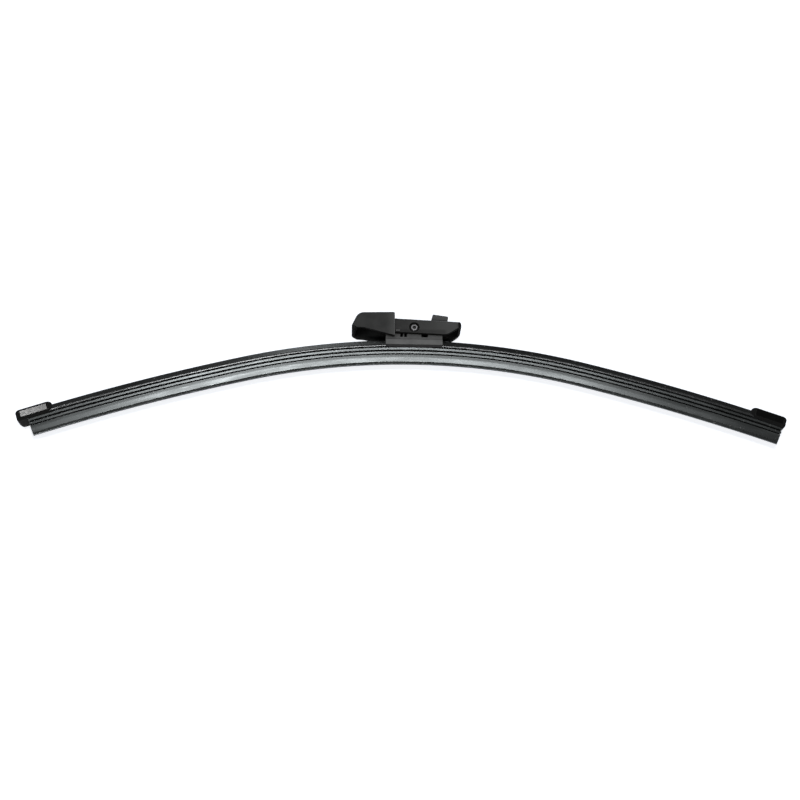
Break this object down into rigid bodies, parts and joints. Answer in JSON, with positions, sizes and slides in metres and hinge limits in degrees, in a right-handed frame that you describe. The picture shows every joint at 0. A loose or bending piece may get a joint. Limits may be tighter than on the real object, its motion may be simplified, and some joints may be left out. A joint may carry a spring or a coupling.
{
  "type": "wiper blade",
  "caption": "Arched flat wiper blade: profiled rubber on spring rails with end caps, a centre clamp, and a rocking arm adapter with hood, raked nose and release lug.",
  "frame": {"origin": "on the pivot pin's axis, at the blade's mid-plane", "axes": "the blade lies on its side: +X along the blade from the hood towards the nose, where the arm slides on; +Y away from the glass; +Z sideways, up from the table"},
  "size_m": [0.3305, 0.0585, 0.014],
  "materials": {
    "blade_rubber": "semi-matte black rubber with a grey sheen on its ridges",
    "rail_steel": "dark coated spring steel",
    "clamp_plastic": "satin dark grey moulded plastic",
    "pin_steel": "dull turned steel",
    "adapter_plastic": "satin black moulded plastic",
    "cap_plastic": "glossy black moulded plastic"
  },
  "bodies": {
    "blade": {"wiper_rubber": "blade_rubber", "spring_rail_near": "rail_steel", "spring_rail_far": "rail_steel", "base_clamp": "clamp_plastic", "pivot_pin": "pin_steel", "end_cap_left": "cap_plastic", "end_cap_right": "cap_plastic"},
    "adapter": {"adapter": "adapter_plastic"},
    "button": {"release_button": "adapter_plastic"}
  },
  "joints": [
    {"name": "adapter_pivot", "type": "hinge", "parent": "blade", "child": "adapter", "pos_m": [0, 0, 0], "axis": [0, 0, 1], "range_deg": [-8, 8]},
    {"name": "button_press", "type": "hinge", "parent": "adapter", "child": "button", "pos_m": [0.004, 0.00267, 0], "axis": [0, 0, 1], "range_deg": [-12, 0], "stiffness_Nm_per_rad": 0.05}
  ]
}
